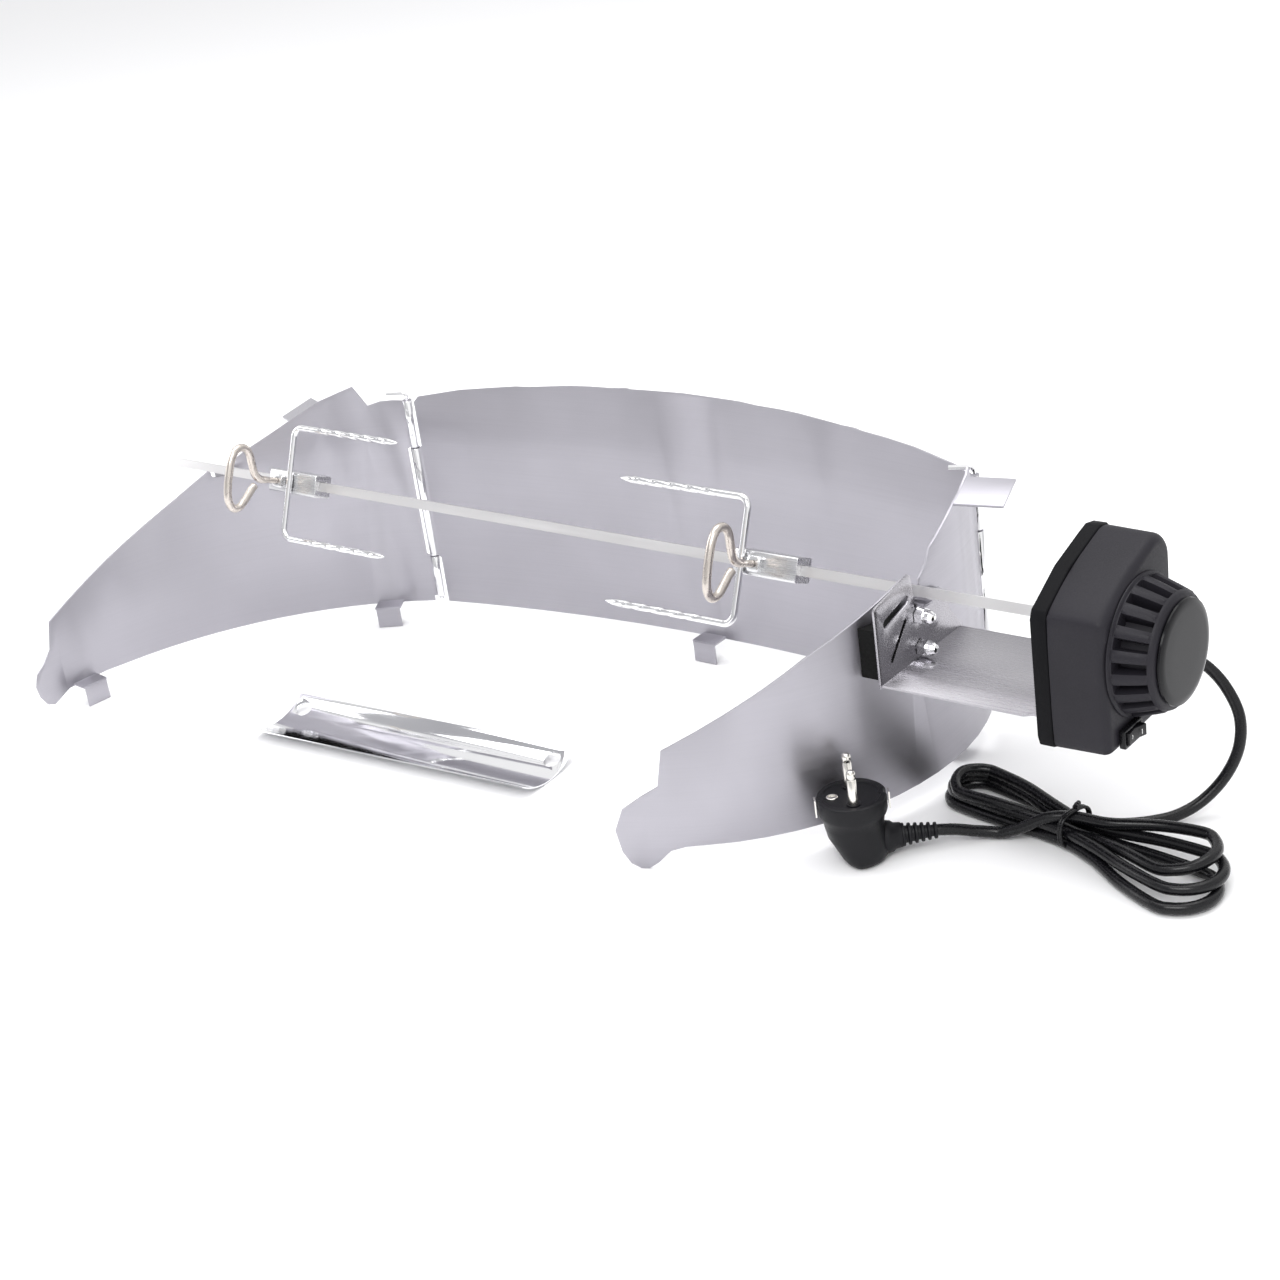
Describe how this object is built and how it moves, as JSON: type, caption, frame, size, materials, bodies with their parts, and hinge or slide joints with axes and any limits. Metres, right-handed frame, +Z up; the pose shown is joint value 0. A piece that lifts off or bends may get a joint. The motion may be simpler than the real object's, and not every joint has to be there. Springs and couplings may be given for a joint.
{
  "type": "rotisserie spit roaster",
  "caption": "Hinged stainless ring screen for a round charcoal grill with a motor-driven square spit, meat forks, thumbscrews, drip pan, motor on a bracket and a coiled mains cord",
  "frame": {"origin": "ground point under the middle of the object's box, measured without the cord, hank and plug", "axes": "+X runs along the spit towards the motor, +Y towards the back panel, +Z up"},
  "size_m": [0.7461, 0.244, 0.1677],
  "materials": {
    "satin_steel": "satin brushed stainless sheet, bright cut edges",
    "bracket_steel": "semi-polished stainless sheet",
    "spit_steel": "drawn square bar, fine lengthwise brushing",
    "bright_chrome": "bright chrome plate",
    "satin_nickel": "satin nickel plate, slightly warm",
    "zinc_plate": "zinc-plated steel",
    "polished_pan": "mirror-polished thin stainless sheet",
    "housing_black": "fine textured black plastic",
    "back_plate_black": "matt black plastic",
    "gloss_black": "smooth black plastic",
    "switch_black": "smooth black plastic",
    "cord_black": "glossy black cord sheath",
    "plug_black": "moulded black plastic",
    "pad_black": "black rubber pad",
    "gear_nylon": "natural nylon",
    "plated_brass": "nickel-plated brass"
  },
  "bodies": {
    "screen": {"back_panel": "satin_steel", "cord_from_motor": "cord_black", "cord_to_plug": "cord_black", "cord_hank": "cord_black", "cord_tie": "cord_black", "plug_body": "plug_black", "plug_pin_front": "plated_brass", "plug_pin_rear": "plated_brass", "plug_strain_relief": "plug_black", "earth_clip_front": "plated_brass", "earth_clip_rear": "plated_brass"},
    "left_wing": {"left_panel": "satin_steel"},
    "right_wing": {"right_panel": "satin_steel", "motor_bracket": "bracket_steel", "bracket_spacer": "pad_black", "bracket_bolt_upper": "zinc_plate", "bracket_bolt_lower": "zinc_plate", "acorn_nut_upper": "bright_chrome", "acorn_nut_lower": "bright_chrome", "motor_back_plate": "back_plate_black", "motor_housing": "housing_black", "vent_dome": "housing_black", "end_cap": "gloss_black", "motor_can": "zinc_plate", "cord_gland": "gloss_black", "housing_screw_1": "zinc_plate", "housing_screw_2": "zinc_plate", "housing_screw_3": "zinc_plate", "housing_screw_4": "zinc_plate", "switch_frame": "switch_black"},
    "left_pin": {"left_hinge_pin": "bright_chrome"},
    "right_pin": {"right_hinge_pin": "bright_chrome"},
    "spit": {"spit_rod": "spit_steel", "drive_gear": "gear_nylon"},
    "motor_shaft": {"motor_pinion": "plated_brass"},
    "left_fork": {"left_fork_hub": "zinc_plate", "left_fork_tines": "bright_chrome"},
    "right_fork": {"right_fork_hub": "zinc_plate", "right_fork_tines": "bright_chrome"},
    "left_screw": {"left_thumbscrew": "satin_nickel"},
    "right_screw": {"right_thumbscrew": "satin_nickel"},
    "rocker": {"switch_rocker": "switch_black"},
    "pan": {"drip_pan": "polished_pan"}
  },
  "joints": [
    {"name": "left_fold", "type": "hinge", "parent": "screen", "child": "left_wing", "pos_m": [-0.21505, 0.09865, 0.08], "axis": [0, 0, 1], "range_deg": [-0.15, 0.15]},
    {"name": "right_fold", "type": "hinge", "parent": "screen", "child": "right_wing", "pos_m": [0.19174, 0.104, 0.08], "axis": [0, 0, 1], "range_deg": [-0.05, 0.05]},
    {"name": "left_pin_lift", "type": "slide", "parent": "screen", "child": "left_pin", "axis": [0, 0, 1], "range_m": [0, 0.08]},
    {"name": "right_pin_lift", "type": "slide", "parent": "screen", "child": "right_pin", "axis": [0, 0, 1], "range_m": [0, 0.08]},
    {"name": "spit_spin", "type": "hinge", "parent": "right_wing", "child": "spit", "pos_m": [-0.0383, 0.0211, 0.12], "axis": [1, 0, 0], "continuous": true},
    {"name": "motor_spin", "type": "hinge", "parent": "right_wing", "child": "motor_shaft", "pos_m": [0.3117, 0.01639, 0.1046], "axis": [1, 0, 0], "continuous": true},
    {"name": "left_fork_slide", "type": "slide", "parent": "spit", "child": "left_fork", "axis": [1, 0, 0], "range_m": [0, 0.06]},
    {"name": "right_fork_slide", "type": "slide", "parent": "spit", "child": "right_fork", "axis": [1, 0, 0], "range_m": [-0.06, 0.02]},
    {"name": "left_screw_turn", "type": "hinge", "parent": "left_fork", "child": "left_screw", "pos_m": [-0.2508, -0.00641, 0.13196], "axis": [0, -0.9171, 0.3987], "continuous": true},
    {"name": "right_screw_turn", "type": "hinge", "parent": "right_fork", "child": "right_screw", "pos_m": [0.1102, -0.00641, 0.13196], "axis": [0, -0.9171, 0.3987], "continuous": true},
    {"name": "rocker_tilt", "type": "hinge", "parent": "right_wing", "child": "rocker", "pos_m": [0.3371, -0.0063, 0.0795], "axis": [0, 0, 1], "range_deg": [0, 10]},
    {"name": "pan_lift", "type": "slide", "parent": "screen", "child": "pan", "axis": [0, 0, 1], "range_m": [0, 0.03]}
  ],
  "couplings": [
    {"joint": "motor_spin", "follows": "spit_spin", "ratio": -4}
  ]
}
